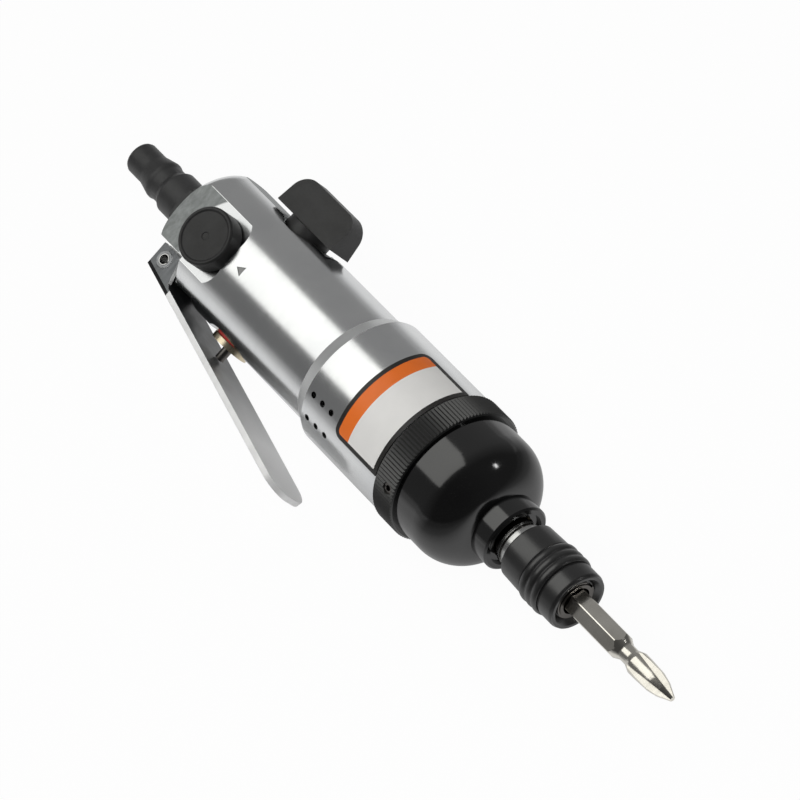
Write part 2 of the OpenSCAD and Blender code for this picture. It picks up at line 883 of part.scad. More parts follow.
// Winged reversing knob: a wing that thins towards its top, on a round stem
module reverse_knob() {
    color(knob_black)
        lying()
            at_reverse() {
                difference() {
                    union() {
                        translate([0, 0, reverse_seat + fit_gap])
                            cylinder(r = reverse_stem_r, h = wing_z - reverse_seat);
                        intersection() {
                            translate([0, wing_foot, wing_z]) rotate([90, 0, 0]) linear_extrude(wing_foot * 2) {
                                translate([-wing_len / 2, 0]) square([wing_len, wing_h - wing_corner]);
                                translate([wing_corner - wing_len / 2, 0]) square([wing_len - wing_corner * 2, wing_h]);
                                for (s = [-1, 1])
                                    translate([s * (wing_len / 2 - wing_corner), wing_h - wing_corner]) circle(wing_corner);
                            }
                            translate([-wing_len, 0, wing_z]) rotate([90, 0, 90]) linear_extrude(wing_len * 2)
                                polygon([[-wing_foot / 2, 0], [wing_foot / 2, 0], [wing_top / 2, wing_h],
                                    [-wing_top / 2, wing_h]]);
                        }
                    }
                    translate([0, 0, stem_ring_z]) ring_groove(reverse_stem_r, stem_ring_r);
                    translate([-drive_tongue_w / 2, -handle_r, 0])
                        cube([drive_tongue_w, handle_d, reverse_seat + drive_tongue_h]);
                }
            }
}

module reverse_valve() {
    color(dark_steel)
        lying()
            at_reverse() {
                difference() {
                    translate([0, 0, reverse_bottom + fit_gap])
                        cylinder(r = reverse_valve_r, h = reverse_seat - reverse_bottom - fit_gap);
                    translate([-reverse_valve_r * 2, 0, reverse_port_z]) bar(reverse_port_r, 0, reverse_valve_r * 4);
                }
                intersection() {
                    translate([fit_gap - drive_tongue_w / 2, -reverse_valve_r, reverse_seat - fit_gap])
                        cube([drive_tongue_w - fit_gap * 2, reverse_valve_r * 2, drive_tongue_h]);
                    cylinder(r = reverse_valve_r, h = handle_r);
                }
            }
}

module reverse_o_ring() {
    color(seal_black)
        lying() at_reverse() translate([0, 0, stem_ring_z]) o_ring(reverse_stem_r - stem_ring_r, stem_ring_r);
}

module detent_ball() {
    color(steel_grey)
        lying() at_reverse() translate([-detent_reach, 0, reverse_seat - detent_r - fit_gap]) sphere(detent_r, $fn = 32);
}

module detent_spring() {
    color(steel_grey)
        lying()
            at_reverse()
                translate([-detent_reach, 0, detent_bottom + fit_gap])
                    wire_coil(detent_r * detent_coil_share, detent_wire, reverse_seat - detent_r * 2 - detent_bottom - fit_gap * 3,
                        detent_coils);
}

module regulator_knob() {
    foot = regulator_flat + regulator_lift;
    head = foot + regulator_h;
    color(knob_black)
        lying()
            at_regulator()
                difference() {
                    rotate_extrude()
                        polygon([[0, foot], [regulator_r - regulator_edge, foot], [regulator_r, foot + regulator_edge],
                            [regulator_r, head - regulator_edge], [regulator_r - regulator_edge, head],
                            [regulator_r - regulator_rim_w, head],
                            [regulator_r - regulator_rim_w - regulator_rim_h, head - regulator_rim_h],
                            [0, head - regulator_rim_h]]);
                    translate([0, 0, head - regulator_rim_h - regulator_dimple_h])
                        cylinder(r = regulator_dimple_r, h = regulator_h);
                    translate([0, 0, foot - overrun])
                        cylinder(r = regulator_post_r + fit_gap, h = regulator_post_h + overrun + fit_gap);
                }
}

module regulator_valve() {
    color(dark_steel)
        lying()
            at_regulator()
                difference() {
                    union() {
                        translate([0, 0, regulator_valve_deep])
                            cylinder(r = regulator_valve_r, h = regulator_flat - regulator_valve_deep);
                        cylinder(r = regulator_post_r, h = regulator_flat + regulator_lift + regulator_post_h);
                    }
                    translate([-handle_r, 0, 0]) bar(regulator_port_r, 0, handle_d);
                    translate([0, 0, regulator_ring_at]) ring_groove(regulator_valve_r, regulator_ring_r);
                }
}

module regulator_o_ring() {
    color(seal_black)
        lying()
            at_regulator()
                translate([0, 0, regulator_ring_at]) o_ring(regulator_valve_r - regulator_ring_r, regulator_ring_r);
}

// Cup-shaped end plate with a bearing seat, drawn from its open side
module end_plate() {
    difference() {
        bar(plate_r, 0, plate_len);
        bar(bearing_r + fit_gap, -overrun, bearing_len + running_gap * 2);
        bar(shaft_hole_r, 0, plate_len + overrun);
        translate([0, 0, -gallery_w]) bar(gallery_r, -overrun, plate_len + overrun);
    }
}

module rear_end_plate() {
    color(steel_grey) lying() translate([rear_plate_x, 0, 0]) end_plate();
}

module front_end_plate() {
    color(steel_grey) lying() translate([front_plate_end, 0, 0]) rotate([0, 180, 0]) end_plate();
}

// Ball bearing as two races and a ring of balls
module bearing() {
    middle = (bearing_r + shaft_r) / 2;
    ball = (bearing_r - shaft_r) / 2 - bearing_race + running_gap * 4;
    difference() {
        union() {
            ring(bearing_r, bearing_r - bearing_race, 0, bearing_len);
            ring(shaft_r + bearing_race, shaft_r + fit_gap, 0, bearing_len);
        }
        translate([bearing_len / 2, 0, 0]) rotate([0, 90, 0]) o_ring(middle, ball + fit_gap);
    }
    for (i = [0 : bearing_balls - 1])
        rotate([360 * i / bearing_balls, 0, 0])
            translate([bearing_len / 2, 0, middle])
                sphere(ball, $fn = 32);
}

module rear_bearing() {
    color(steel_grey) lying() translate([rear_plate_x + running_gap, 0, 0]) bearing();
}

module front_bearing() {
    color(steel_grey)
        lying() translate([front_plate_end - bearing_len - running_gap, 0, 0]) bearing();
}

// Motor cylinder, bored off centre, with its exhaust ports
module cylinder_liner() {
    color(steel_grey)
        lying()
            difference() {
                bar(plate_r, liner_x, front_plate_x);
                translate([0, 0, -liner_offset]) bar(liner_bore_r, liner_x - overrun, front_plate_x + overrun);
                for (turn = exhaust_angles)
                    translate([exhaust_x + exhaust_pitch, 0, 0])
                        rotate([turn, 0, 0])
                            translate([0, 0, -motor_bore_r - overrun])
                                cylinder(r = liner_port_r, h = motor_bore_r - liner_bore_r + overrun * 2);
            }
}

module rotor() {
    color(steel_grey)
        lying()
            difference() {
                union() {
                    bar(rotor_r, liner_x + rotor_gap, front_plate_x - rotor_gap);
                    bar(shaft_r, rear_plate_x + rotor_gap, front_plate_end);
                    hex_bar(drive_r * 2 * cos(30), front_plate_end - overrun, front_plate_end + drive_len, 0);
                }
                for (i = [0 : vane_count - 1])
                    rotate([360 * i / vane_count, 0, 0])
                        translate([liner_x, -vane_t / 2, rotor_r - vane_deep])
                            cube([liner_len, vane_t, vane_deep + overrun]);
            }
}

// Vanes lie drawn in, flush with the rotor
module vanes() {
    color(bit_bronze)
        lying()
            for (i = [0 : vane_count - 1])
                rotate([360 * i / vane_count, 0, 0])
                    translate([liner_x + rotor_gap, fit_gap - vane_t / 2, rotor_r - vane_deep + fit_gap])
                        cube([liner_len - rotor_gap * 2, vane_t - fit_gap * 2, vane_deep - running_gap * 2]);
}

// Frame that the rotor turns: two discs joined by two bars, with an eye for the anvil
module hammer_cage() {
    front = cage_x + cage_len;
    color(steel_grey)
        lying()
            difference() {
                union() {
                    bar(cage_r, cage_x, cage_x + cage_disc);
                    bar(cage_r, front - cage_disc, front);
                    bar(cage_hub_r, front_plate_end + free_gap, cage_x + overrun);
                    intersection() {
                        ring(cage_r, cage_bar_in, cage_x, front);
                        translate([cage_x, -cage_r, -cage_bar_w / 2]) cube([cage_len, cage_r * 2, cage_bar_w]);
                    }
                }
                bar(cage_eye_r, front - cage_disc - overrun, front + overrun);
                hex_bar(drive_r * 2 * cos(30) + running_gap * 2, front_plate_end,
                    front_plate_end + drive_len + free_gap, 0);
                for (s = [-1, 1])
                    translate([0, 0, s * hammer_pin_at]) bar(hammer_pin_r + fit_gap, cage_x - overrun, front + overrun);
            }
}

// Two swinging hammers side by side, each hung on one pin and notched round the other
module hammer_dogs() {
    room = cage_len - cage_disc * 2;
    each_len = (room - dog_gap * 3) / 2;
    color(dark_steel)
        lying()
            for (i = [0, 1])
                translate([cage_x + cage_disc + dog_gap + i * (each_len + dog_gap), 0, 0])
                    difference() {
                        bar(dog_r, 0, each_len);
                        bar(dog_bore_r, -overrun, each_len + overrun);
                        for (s = [-1, 1])
                            translate([0, 0, s * hammer_pin_at])
                                bar(hammer_pin_r + running_gap, -overrun, each_len + overrun);
                    }
}

module hammer_pins() {
    color(steel_grey)
        lying()
            for (s = [-1, 1])
                translate([0, 0, s * hammer_pin_at])
                    bar(hammer_pin_r, cage_x + running_gap, cage_x + cage_len - running_gap);
}

// Anvil: jaw, thrust flange, journal and hexagonal bit socket in one steel piece
module anvil() {
    flange_x = bush_x - anvil_flange_len - free_gap;
    color(steel_grey)
        lying()
            difference() {
                union() {
                    bar(anvil_r, anvil_back, seat_ring_x + seat_ring_len);
                    intersection() {
                        bar(anvil_jaw_r, anvil_back, cage_x + cage_len);
                        translate([anvil_back, -anvil_jaw_w / 2, -anvil_jaw_r])
                            cube([cage_len, anvil_jaw_w, anvil_jaw_r * 2]);
                    }
                    bar(anvil_flange_r, flange_x, bush_x - free_gap);
                    bar(chuck_r, seat_ring_x, anvil_front);
                }
                hex_bar(bit_af + socket_gap * 2, bit_back - socket_end_gap, anvil_front + overrun, hex_turn);
                bar(socket_mouth_r, anvil_front - socket_mouth_len, anvil_front + overrun);
                ring(anvil_r + overrun, anvil_r - clip_groove, clip_x, clip_x + clip_len);
                ring(chuck_r + overrun, chuck_r - clip_groove, anvil_front - end_clip_back - end_clip_len,
                    anvil_front - end_clip_back);
                for (s = [0, 180])
                    rotate([hex_turn + 30 + s, 0, 0])
                        translate([ball_x, 0, 0])
                            cylinder(r = ball_hold_r + running_gap, h = chuck_r + overrun, $fn = 48);
            }
}

module anvil_bush() {
    color(brass_gold)
        lying() ring(bush_r - fit_gap, anvil_r + running_gap, bush_x, bush_end - fit_gap);
}

// Open spring ring that sits in a groove
module groove_clip(outer, inner, from, long) {
    difference() {
        ring(outer, inner, from, from + long);
        translate([from - overrun, -inner / 3, 0]) cube([long + overrun * 2, inner / 1.5, outer * 2]);
    }
}

module anvil_clip() {
    color(steel_grey)
        lying()
            groove_clip(clip_r, anvil_r - clip_groove + fit_gap, clip_x + fit_gap, clip_len - fit_gap * 2);
}

module spring_seat() {
    color(steel_grey)
        lying() ring(seat_ring_r, anvil_r + fit_gap, seat_ring_x, seat_ring_x + seat_ring_len);
}

module lock_balls() {
    color(steel_grey)
        lying()
            for (s = [0, 180])
                rotate([hex_turn + 30 + s, 0, 0])
                    translate([ball_x, 0, ball_hold_at])
                        sphere(ball_hold_r, $fn = 48);
}

// Outline of the sleeve's outside: a plain rear, rounded ribs, a groove and a rounded front
module sleeve_outline() {
    ribs_x = sleeve_x + sleeve_rear_len;
    ribs_end = ribs_x + rib_band;
    front_r = sleeve_front_d / 2;
    pitch = rib_band / sleeve_ribs;
    rib_r = (pow(pitch / 2, 2) + pow(rib_drop, 2)) / (2 * rib_drop);
    crest = sleeve_rib_d / 2;
    polygon([[0, sleeve_x], [sleeve_rear_d / 2 - sleeve_wall_chamfer, sleeve_x],
        [sleeve_rear_d / 2, sleeve_x + sleeve_wall_chamfer],
        [front_r + sleeve_wall_chamfer / 4, ribs_x - sleeve_groove / 2],
        [sleeve_groove_r + sleeve_wall_chamfer / 2, ribs_x], [0, ribs_x]]);
    translate([0, ribs_x]) square([crest - rib_drop, rib_band]);
    for (i = [0 : sleeve_ribs - 1])
        intersection() {
            translate([crest - rib_r, ribs_x + (i + 0.5) * pitch]) circle(rib_r);
            translate([sleeve_groove_r, ribs_x + i * pitch]) square([crest, pitch]);
        }
    translate([0, ribs_end - overrun]) square([sleeve_groove_r, sleeve_front - ribs_end + overrun]);
    translate([0, ribs_end + sleeve_groove])
        square([front_r, sleeve_front - sleeve_nose_round - ribs_end - sleeve_groove]);
    translate([front_r - sleeve_nose_round, sleeve_front - sleeve_nose_round]) circle(sleeve_nose_round);
}

module sleeve() {
    color(knob_black)
        lying()
            difference() {
                turned() sleeve_outline();
                bar(pocket_r, sleeve_x - overrun, ball_x - land_back);
                bar(land_r, sleeve_x, ball_x + land_front + overrun);
                bar(pocket_r, ball_x + land_front, ball_x + land_front + release_len);
                bar(chuck_r + running_gap, sleeve_x, sleeve_front + overrun);
                turned()
                    polygon([[0, sleeve_front - mouth_len], [mouth_floor_r, sleeve_front - mouth_len],
                        [mouth_r, sleeve_front], [mouth_r, sleeve_front + overrun], [0, sleeve_front + overrun]]);
            }
}

module sleeve_spring() {
    from = seat_ring_x + seat_ring_len + fit_gap;
    color(steel_grey)
        lying()
            translate([from, 0, 0])
                rotate([0, 90, 0])
                    wire_coil((pocket_r + chuck_r) / 2, sleeve_wire, ball_x - land_back - from - fit_gap,
                        sleeve_coils);
}

module sleeve_clip() {
    color(steel_grey)
        lying()
            groove_clip(end_clip_r, chuck_r - clip_groove + fit_gap,
                anvil_front - end_clip_back - end_clip_len + fit_gap, end_clip_len - fit_gap * 2);
}

// One end of the bit, from its middle to its tip: [radius, distance from the tip]
bit_end_shares = [[1.12, 4.0], [1.12, 1.235], [0.72, 1.08], [0.72, 0.95], [0.97, 0.82], [0.97, 0.68],
    [0.90, 0.40], [0.70, 0.22], [0.26, 0.02], [0.22, 0]];

module bit_end_outline() {
    half = bit_len / 2;
    polygon(concat([[0, 0], [bit_end_shares[0][0] * bit_af / 2, 0]],
        [for (i = [1 : len(bit_end_shares) - 1])
            [bit_end_shares[i][0] * bit_af / 2, half - bit_end_shares[i][1] * bit_groove]],
        [[0, half]]));
}

// Four flutes that leave the cross of the tip
module bit_flutes() {
    for (turn = [0 : 90 : 270])
        rotate([flute_turn + turn, 0, 0])
            translate([bit_len / 2, 0, tip_r])
                rotate([0, flute_slope, 0])
                    translate([-bit_groove, 0, 0])
                        rotate([45, 0, 0])
                            cube([bit_groove * 2, bit_af, bit_af]);
}

module bit() {
    color(bit_bronze)
        lying()
            translate([bit_tip - bit_len / 2, 0, 0])
                intersection() {
                    rotate([hex_turn, 0, 0])
                        difference() {
                            union() {
                                turned() bit_end_outline();
                                rotate([0, 180, 0]) turned() bit_end_outline();
                            }
                            bit_flutes();
                            rotate([0, 180, 0]) bit_flutes();
                        }
                    hex_bar(bit_af, -bit_len, bit_len, hex_turn);
                }
}

module label() {
    color(label_orange)
        lying()
            translate([label_x, 0, 0])
                rotate([-90 - label_turn - label_angle / 2, 0, 0])
                    rotate([0, 90, 0])
                        rotate_extrude(angle = label_angle)
                            translate([collar_r + fit_gap, 0])
                                square([label_t, label_len]);
}

body();
hammer_case();
case_screw();
air_plug();
plug_washer();
inlet_screen();
lever();
lever_pin();
valve_bush();
valve_o_ring();
pin_o_ring();
valve_seat();
throttle_pin();
throttle_ball();
throttle_spring();
reverse_knob();
reverse_valve();
reverse_o_ring();
detent_ball();
detent_spring();
regulator_knob();
regulator_valve();
regulator_o_ring();
rear_end_plate();
rear_bearing();
cylinder_liner();
rotor();
vanes();
front_end_plate();
front_bearing();
hammer_cage();
hammer_dogs();
hammer_pins();
anvil();
anvil_bush();
anvil_clip();
spring_seat();
lock_balls();
sleeve();
sleeve_spring();
sleeve_clip();
bit();
label();
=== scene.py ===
import bpy, bmesh, math
from mathutils import Matrix, Vector


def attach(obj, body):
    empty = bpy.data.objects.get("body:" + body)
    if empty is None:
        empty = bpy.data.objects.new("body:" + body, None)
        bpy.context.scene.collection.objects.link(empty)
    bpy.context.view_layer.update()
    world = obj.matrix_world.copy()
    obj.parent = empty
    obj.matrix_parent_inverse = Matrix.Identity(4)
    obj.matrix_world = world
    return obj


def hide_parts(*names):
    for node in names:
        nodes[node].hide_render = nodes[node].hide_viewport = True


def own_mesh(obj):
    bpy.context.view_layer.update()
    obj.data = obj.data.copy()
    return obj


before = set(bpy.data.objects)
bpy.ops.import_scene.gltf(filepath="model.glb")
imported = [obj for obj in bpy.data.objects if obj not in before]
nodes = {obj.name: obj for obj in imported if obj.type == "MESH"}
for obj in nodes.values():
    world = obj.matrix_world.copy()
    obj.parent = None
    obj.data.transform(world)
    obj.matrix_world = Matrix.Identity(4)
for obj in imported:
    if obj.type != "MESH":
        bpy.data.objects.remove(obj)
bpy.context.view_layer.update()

layout = {
    "noseToHandle": 0.026,  # metres from the origin to the handle's rear face
    "floorHeight": -0.0194,  # metres, where the knurled ring touches the floor
    "rollAngle": 21.7186,  # degrees that the tool rolls onto its lever
}


def toRow(x, side, up):
    # a point on the upright tool, in mm: x from the handle's rear face, up towards the wing
    turn = math.radians(layout["rollAngle"] - 90)
    return Vector((x / 1000 + layout["noseToHandle"],
                   (side * math.cos(turn) - up * math.sin(turn)) / 1000,
                   (side * math.sin(turn) + up * math.cos(turn)) / 1000))


def wayOf(x, side, up):
    # a direction on the upright tool, as a unit vector in the scene
    return (toRow(1000 * x, 1000 * side, 1000 * up) - toRow(0, 0, 0)).normalized()


def newObject(name, shape):
    mesh = bpy.data.meshes.new(name)
    shape.to_mesh(mesh)
    shape.free()
    thing = bpy.data.objects.new(name, mesh)
    bpy.context.scene.collection.objects.link(thing)
    return thing


cameraPlan = {
    "lensMm": 221.8,
    "sensorMm": 36,
    "distance": 1.2,  # metres
    "aimAt": 78.7,  # mm along the handle
    "aimShift": 3.64,  # mm towards the wing
    "lean": 33.0,  # degrees that the front leans to the camera
    "tilt": 6.5,  # degrees from the round knob's side to the wing's side
    "turn": 45.436,  # degrees, slope of the axis in the picture
    "clip": (0.01, 50),
}


def buildCamera(plan):
    lean, tilt, turn = (math.radians(plan[angle]) for angle in ("lean", "tilt", "turn"))
    toCamera = wayOf(math.sin(lean), -math.cos(lean) * math.cos(tilt),
                     math.cos(lean) * math.sin(tilt))
    along = Vector((1, 0, 0))
    along = (along - toCamera * along.dot(toCamera)).normalized()
    across = toCamera.cross(along)
    right = along * math.cos(turn) + across * math.sin(turn)
    up = across * math.cos(turn) - along * math.sin(turn)
    place = toRow(plan["aimAt"], 0, 0) + across * plan["aimShift"] / 1000
    place += toCamera * plan["distance"]
    data = bpy.data.cameras.new("photoCamera")
    data.lens = plan["lensMm"]
    data.sensor_width = plan["sensorMm"]
    data.clip_start, data.clip_end = plan["clip"]
    camera = bpy.data.objects.new("photoCamera", data)
    bpy.context.scene.collection.objects.link(camera)
    facing = Matrix((right, up, toCamera)).transposed().to_4x4()
    camera.matrix_world = Matrix.Translation(place) @ facing
    bpy.context.scene.camera = camera
    print("camera stands", [round(v, 3) for v in place])


buildCamera(cameraPlan)


# small helpers for node trees
def feed(tree, socket, value):
    # a node's output, a colour or a number goes into the socket
    if isinstance(value, bpy.types.NodeSocket):
        tree.links.new(value, socket)
    elif socket.type == "RGBA":
        socket.default_value = (*value, 1)
    else:
        socket.default_value = value


def addNode(tree, kind, inputs, **settings):
    node = tree.nodes.new(kind)
    for key, value in settings.items():
        setattr(node, key, value)
    for key, value in inputs.items():
        feed(tree, node.inputs[key], value)
    return node


def reckon(tree, operation, *values):
    node = addNode(tree, "ShaderNodeMath", dict(enumerate(values)), operation=operation)
    return node.outputs["Value"]


def product(tree, first, *others):
    for other in others:
        first = reckon(tree, "MULTIPLY", first, other)
    return first


def within(tree, value, middle, half):
    # 1 where the value, in metres, lies this near to the middle, in mm
    return reckon(tree, "COMPARE", value, middle / 1000, half / 1000)


def mix(tree, kind, fac, first, second):
    inputs = {"Factor": fac, "A": first, "B": second}
    return addNode(tree, "ShaderNodeMix", inputs, data_type=kind).outputs["Result"]


def mixColours(tree, fac, first, second):
    return mix(tree, "RGBA", fac, first, second)


def mixValues(tree, fac, first, second):
    return mix(tree, "FLOAT", fac, first, second)


def mixShaders(tree, fac, first, second):
    return addNode(tree, "ShaderNodeMixShader", {"Fac": fac, 1: first, 2: second}).outputs[0]


def mapped(tree, value, low, high):
    names = ("From Min", "From Max", "To Min", "To Max")
    inputs = {"Value": value, **dict(zip(names, (*low, *high)))}
    return addNode(tree, "ShaderNodeMapRange", inputs).outputs["Result"]


roughStrays = {  # how far the roughness goes below and above its named value
    "metal": (-0.06, 0.08),
    "handle": (-0.02, 0.03),
    "sheet": (-0.05, 0.08),
    "case": (-0.02, 0.04),
    "blackSteel": (-0.03, 0.05),
    "plastic": (-0.06, 0.08),
}


def uneven(tree, noise, rough, finish):
    # most of the noise lies between these two levels
    return mapped(tree, noise, (0.3, 0.7), [rough + stray for stray in roughStrays[finish]])


def ramp(tree, fac, stops):
    node = addNode(tree, "ShaderNodeValToRGB", {"Fac": fac})
    elements = node.color_ramp.elements
    while len(elements) < len(stops):
        elements.new(0.5)
    for element, (place, colour) in zip(elements, stops):
        element.position = place
        element.color = (*colour, 1)
    return node.outputs["Color"]


patterns = {  # grains per metre, detail, roughness
    "latheMarks": (900, 4, 0.7),
    "handleMarks": (1100, 4, 0.7),
    "millMarks": (800, 5, 0.65),
    "metalBlotch": (70, 4, 0.6),
    "handleBlotch": (60, 4, 0.6),
    "sheetBlotch": (160, 4, 0.6),
    "steelSpeck": (1800, 3, 0.6),
    "steelCloud": (120, 4, 0.6),
    "plasticGrain": (2600, 3, 0.6),
    "plasticCloud": (160, 3, 0.5),
}
roundTheSpindle = (1, 0.02, 0.02)  # draws a pattern out into rings
acrossTheFlat = (1, 0.35, 1)
reliefDepth = {"metal": 0.00004, "blackSteel": 0.00003, "plastic": 0.00006}  # metres


def noiseAt(tree, pattern, stretch=(1, 1, 1)):
    place = addNode(tree, "ShaderNodeTexCoord", {}).outputs["Object"]
    mapping = addNode(tree, "ShaderNodeMapping", {"Vector": place, "Scale": stretch})
    scale, detail, rough = patterns[pattern]
    inputs = {"Vector": mapping.outputs["Vector"], "Scale": scale, "Detail": detail,
              "Roughness": rough}
    return addNode(tree, "ShaderNodeTexNoise", inputs).outputs["Fac"]


def uprightSpace(tree):
    # the place on the upright tool, in metres: along it, to its side, up towards the wing
    place = addNode(tree, "ShaderNodeTexCoord", {}).outputs["Object"]
    roll = math.radians(90 - layout["rollAngle"])
    mapping = addNode(tree, "ShaderNodeMapping", {
        "Vector": place, "Location": (-layout["noseToHandle"], 0, 0), "Rotation": (roll, 0, 0)})
    split = addNode(tree, "ShaderNodeSeparateXYZ", {"Vector": mapping.outputs["Vector"]})
    return split.outputs["X"], split.outputs["Y"], split.outputs["Z"]


def newMaterial(name, metal=0.0, specular=0.5):
    material = bpy.data.materials.new(name)
    material.use_nodes = True
    tree = material.node_tree
    shader = tree.nodes["Principled BSDF"]
    shader.inputs["Metallic"].default_value = metal
    shader.inputs["Specular IOR Level"].default_value = specular
    return material, tree, shader


def coat(tree, shader, colour, rough):
    feed(tree, shader.inputs["Base Color"], colour)
    feed(tree, shader.inputs["Roughness"], rough)


def bump(tree, shader, height, strength, depth):
    node = addNode(tree, "ShaderNodeBump",
                   {"Height": height, "Strength": strength, "Distance": reliefDepth[depth]})
    feed(tree, shader.inputs["Normal"], node.outputs["Normal"])


def turnedMetal(name, colour, dark, rough, scratch, metal=1.0):
    # lathe marks run round the spindle, with a faint blotched sheen
    material, tree, shader = newMaterial(name, metal=metal)
    rings = noiseAt(tree, "latheMarks", roundTheSpindle)
    blotch = noiseAt(tree, "metalBlotch")
    coat(tree, shader, ramp(tree, blotch, [(0.3, dark), (0.65, colour)]),
         uneven(tree, rings, rough, "metal"))
    bump(tree, shader, rings, scratch, "metal")
    return material


handleFinish = {  # places and sizes are mm on the upright tool
    "bright": (0.84, 0.85, 0.85),
    "dull": (0.76, 0.77, 0.78),
    "rough": 0.2,
    "milled": (0.31, 0.325, 0.325),
    "milledShade": 0.72,  # how dark the cutter marks are beside the milled colour
    "milledRough": 0.42,
    "flatBright": (0.66, 0.67, 0.68),
    "knobFlat": (-14.0, 9.35, 25.1),  # where the flat lies, its half width, its end
    "wingFlat": (16.1, 5.05, 38.1),
    "leverFlat": (-15.0, 7.7, 18.1),
    "flatSkin": 0.04,  # how near to a flat's plane its finish reaches
    "flatShadeEnd": 7.3,  # painted shade: behind here the knob's flat takes the darker milled colour
    "flatShadeBlur": 0.3,
    "flatShadeCurve": 40.0,
    "slope": (66.0, 2.05),  # middle and half length of the slope up to the collar
    "slopeColour": (0.90, 0.91, 0.91),
    "slopeRough": 0.5,
    "markPaint": (0.2, 0.2, 0.2),
    "markFloor": -16.65,  # the sunk index mark's level on the knob's side
    "markSkin": 0.05,
    "markMiddle": 29.3,
    "markHalf": (1.4, 1.8),  # along and across
    "relief": 0.07,
}


def handleMetal(name, plan):
    # turned aluminium with duller milled flats, a painted index mark and painted shade on the rear
    # of the knob's flat
    material, tree, shader = newMaterial(name, metal=1.0)
    along, side, up = uprightSpace(tree)
    rings = noiseAt(tree, "handleMarks", roundTheSpindle)
    mill = noiseAt(tree, "millMarks", acrossTheFlat)
    turned = ramp(tree, noiseAt(tree, "handleBlotch"),
                  [(0.3, plan["dull"]), (0.65, plan["bright"])])
    cutterMarks = tuple(c * plan["milledShade"] for c in plan["milled"])
    milled = ramp(tree, mill, [(0.35, cutterMarks), (0.65, plan["milled"])])

    def flatMask(flat, depth, across):
        plane, half, end = plan[flat]
        return product(tree, within(tree, depth, plane, plan["flatSkin"]),
                       within(tree, across, 0, half),
                       reckon(tree, "LESS_THAN", along, end / 1000))

    knobFlat = flatMask("knobFlat", side, up)
    # painted shade: behind a curved line the knob's flat is coloured as dark milled metal
    curve = reckon(tree, "SUBTRACT", along, product(tree, up, up, plan["flatShadeCurve"]))
    fade = [(plan["flatShadeEnd"] + blur) / 1000 for blur in (-plan["flatShadeBlur"], plan["flatShadeBlur"])]
    behind = product(tree, knobFlat, mapped(tree, curve, fade, (1, 0)))
    dull = reckon(tree, "MAXIMUM", flatMask("wingFlat", up, side),
                  flatMask("leverFlat", up, side))
    # dull holds the milled wing and lever flats and the painted shade on the rear of the knob's
    # flat
    dull = reckon(tree, "MAXIMUM", behind, dull)
    slope = within(tree, along, *plan["slope"])
    markLong, markWide = plan["markHalf"]
    mark = product(tree, within(tree, side, plan["markFloor"], plan["markSkin"]),
                   within(tree, along, plan["markMiddle"], markLong),
                   within(tree, up, 0, markWide))

    colour = mixColours(tree, knobFlat, turned, plan["flatBright"])
    colour = mixColours(tree, dull, colour, milled)
    colour = mixColours(tree, slope, colour, plan["slopeColour"])
    rough = mixValues(tree, dull, uneven(tree, rings, plan["rough"], "handle"),
                      plan["milledRough"])
    coat(tree, shader, mixColours(tree, mark, colour, plan["markPaint"]),
         mixValues(tree, slope, rough, plan["slopeRough"]))
    bump(tree, shader, mixValues(tree, dull, rings, mill), plan["relief"], "metal")
    return material


sheetFinish = {  # the lever's flat face, with painted shade near the pin and a painted reflection towards the tip
    "paintedShades": [(0.0, (0.035, 0.036, 0.038)), (0.25, (0.05, 0.052, 0.055)),
               (0.55, (0.22, 0.223, 0.226)), (1.0, (0.93, 0.93, 0.93))],
    "reach": (8.0, 58.0),  # mm along the tool, from under the pin to the tip
    "metal": 0.2,
    "rough": 0.34,
}


def leverSheet(name, plan):
    # rolled sheet, painted dark with shade near the pin and painted with a bright reflection
    # towards the tip
    material, tree, shader = newMaterial(name, metal=plan["metal"])
    along = uprightSpace(tree)[0]
    place = mapped(tree, along, [end / 1000 for end in plan["reach"]], (0, 1))
    coat(tree, shader, ramp(tree, place, plan["paintedShades"]),
         uneven(tree, noiseAt(tree, "sheetBlotch"), plan["rough"], "sheet"))
    return material


caseFinish = {
    "gloss": (0.0012, 0.0012, 0.0013),
    "cloudy": (0.0022, 0.0022, 0.0023),
    "glossRough": 0.11,
    "knurl": (0.011, 0.011, 0.0105),
    "knurlRough": 0.38,
    "knurlBand": (101.7, 3.8),  # its middle and half length, mm on the upright tool
    "relief": 0.04,
}


def caseBlack(name, plan):
    # glossy black, with a duller knurled band that hands have rubbed
    material, tree, shader = newMaterial(name, specular=1.0)
    cloud = noiseAt(tree, "steelCloud")
    grip = within(tree, uprightSpace(tree)[0], *plan["knurlBand"])
    gloss = ramp(tree, cloud, [(0.35, plan["gloss"]), (0.7, plan["cloudy"])])
    coat(tree, shader, mixColours(tree, grip, gloss, plan["knurl"]),
         mixValues(tree, grip, uneven(tree, cloud, plan["glossRough"], "case"),
                   plan["knurlRough"]))
    bump(tree, shader, noiseAt(tree, "steelSpeck"), plan["relief"], "blackSteel")
    return material


def blackSteel(name, colour, rough, speck, specular=0.5, lift=1.6):
    material, tree, shader = newMaterial(name, specular=specular)
    cloud = noiseAt(tree, "steelCloud")
    lighter = tuple(c * lift for c in colour)
    coat(tree, shader, ramp(tree, cloud, [(0.35, colour), (0.7, lighter)]),
         uneven(tree, cloud, rough, "blackSteel"))
    bump(tree, shader, noiseAt(tree, "steelSpeck"), speck, "blackSteel")
    return material


def mouldedPlastic(name, colour, rough, lift=1.5, leastLift=0.004, relief=0.35):
    material, tree, shader = newMaterial(name)
    grain = noiseAt(tree, "plasticGrain")
    lighter = tuple(min(1, c * lift + leastLift) for c in colour)
    coat(tree, shader,
         ramp(tree, noiseAt(tree, "plasticCloud"), [(0.35, colour), (0.7, lighter)]),
         uneven(tree, grain, rough, "plastic"))
    bump(tree, shader, grain, relief, "plastic")
    return material


